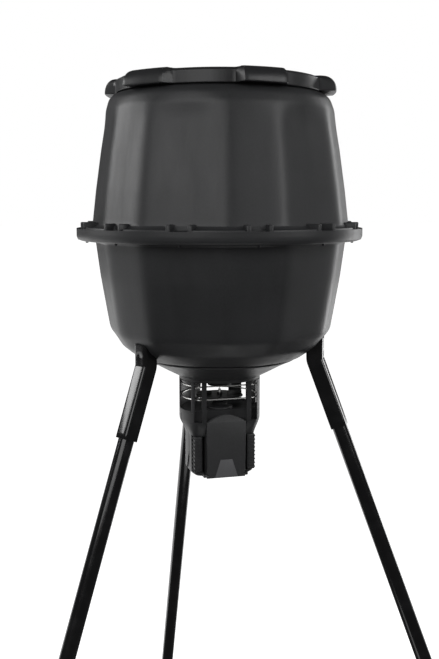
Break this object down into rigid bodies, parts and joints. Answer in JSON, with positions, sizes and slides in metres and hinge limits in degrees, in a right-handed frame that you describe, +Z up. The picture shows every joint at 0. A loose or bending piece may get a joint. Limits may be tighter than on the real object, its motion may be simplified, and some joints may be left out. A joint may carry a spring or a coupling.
{
  "type": "spin cast feeder",
  "caption": "Game feeder with a twelve-sided plastic hopper and twist-off lid on a steel tripod, over a caged motor-driven spinner and a timer box.",
  "frame": {"origin": "ground level, under the middle of the feeder's bounding box", "axes": "+Z up along the feeder's tallest extent, -Y is the front, where the door of the control box is, and +X is to the right as seen from the front"},
  "size_m": [1.3214, 1.1507, 1.972],
  "materials": {
    "hopper_plastic": "satin moulded plastic with a fine grain",
    "lid_plastic": "satin moulded plastic",
    "painted_steel": "glossy black powder coat",
    "box_plastic": "fine textured plastic",
    "door_plastic": "satin moulded plastic",
    "bright_steel": "zinc plated and drawn steel",
    "rubber": "matt rubber",
    "battery_case": "moulded battery case",
    "button_plastic": "moulded keys",
    "display_glass": "display window"
  },
  "bodies": {
    "stand_and_hopper": {"hopper_upper": "hopper_plastic", "hopper_lower": "hopper_plastic", "flange_bolt_01": "bright_steel", "flange_bolt_02": "bright_steel", "flange_bolt_03": "bright_steel", "flange_bolt_04": "bright_steel", "flange_bolt_05": "bright_steel", "flange_bolt_06": "bright_steel", "flange_bolt_07": "bright_steel", "flange_bolt_08": "bright_steel", "flange_bolt_09": "bright_steel", "flange_bolt_10": "bright_steel", "flange_bolt_11": "bright_steel", "flange_bolt_12": "bright_steel", "outlet_funnel": "hopper_plastic", "leg_bracket_left": "painted_steel", "leg_bracket_right": "painted_steel", "leg_bracket_rear": "painted_steel", "leg_bracket_bolt_left": "bright_steel", "leg_bracket_bolt_right": "bright_steel", "leg_bracket_bolt_rear": "bright_steel", "leg_upper_left": "painted_steel", "leg_lower_left": "painted_steel", "leg_upper_right": "painted_steel", "leg_lower_right": "painted_steel", "leg_upper_rear": "painted_steel", "leg_lower_rear": "painted_steel", "foot_left": "rubber", "foot_right": "rubber", "foot_rear": "rubber", "cage_cap": "box_plastic", "spinner_cage": "box_plastic", "guard_wire_1": "bright_steel", "guard_wire_2": "bright_steel", "control_housing": "box_plastic", "door_pin": "bright_steel", "motor": "painted_steel", "battery": "battery_case", "timer_panel": "box_plastic", "display": "display_glass"},
    "lid_seal": {"lid_gasket": "rubber"},
    "lid": {"lid": "lid_plastic"},
    "spinner": {"spinner_plate": "painted_steel", "spinner_hub": "painted_steel", "spinner_nut": "bright_steel", "motor_shaft": "bright_steel"},
    "door": {"front_door": "door_plastic"},
    "latch_left": {"latch_left": "door_plastic"},
    "latch_right": {"latch_right": "door_plastic"},
    "timer_button_1": {"timer_button_1": "button_plastic"},
    "timer_button_2": {"timer_button_2": "button_plastic"},
    "timer_button_3": {"timer_button_3": "button_plastic"},
    "timer_button_4": {"timer_button_4": "button_plastic"}
  },
  "joints": [
    {"name": "lid_lift", "type": "slide", "parent": "stand_and_hopper", "child": "lid_seal", "axis": [0, 0, 1], "range_m": [0, 0.15]},
    {"name": "lid_turn", "type": "hinge", "parent": "lid_seal", "child": "lid", "pos_m": [0, -0.184, 1.956], "axis": [0, 0, 1], "range_deg": [0, 60]},
    {"name": "spinner_spin", "type": "hinge", "parent": "stand_and_hopper", "child": "spinner", "pos_m": [0, -0.184, 1.2585], "axis": [0, 0, 1], "continuous": true},
    {"name": "door_swing", "type": "hinge", "parent": "stand_and_hopper", "child": "door", "pos_m": [0, -0.24, 1.0815], "axis": [1, 0, 0], "range_deg": [0, 110]},
    {"name": "latch_left_squeeze", "type": "hinge", "parent": "stand_and_hopper", "child": "latch_left", "pos_m": [-0.0545, -0.2175, 1.132], "axis": [0, 0, 1], "range_deg": [0, 8], "stiffness_Nm_per_rad": 1},
    {"name": "latch_right_squeeze", "type": "hinge", "parent": "stand_and_hopper", "child": "latch_right", "pos_m": [0.0545, -0.2175, 1.132], "axis": [0, 0, -1], "range_deg": [0, 8], "stiffness_Nm_per_rad": 1},
    {"name": "timer_button_1_press", "type": "slide", "parent": "stand_and_hopper", "child": "timer_button_1", "axis": [0, 1, 0], "range_m": [0, 0.0012], "stiffness_N_per_m": 800},
    {"name": "timer_button_2_press", "type": "slide", "parent": "stand_and_hopper", "child": "timer_button_2", "axis": [0, 1, 0], "range_m": [0, 0.0012], "stiffness_N_per_m": 800},
    {"name": "timer_button_3_press", "type": "slide", "parent": "stand_and_hopper", "child": "timer_button_3", "axis": [0, 1, 0], "range_m": [0, 0.0012], "stiffness_N_per_m": 800},
    {"name": "timer_button_4_press", "type": "slide", "parent": "stand_and_hopper", "child": "timer_button_4", "axis": [0, 1, 0], "range_m": [0, 0.0012], "stiffness_N_per_m": 800}
  ]
}
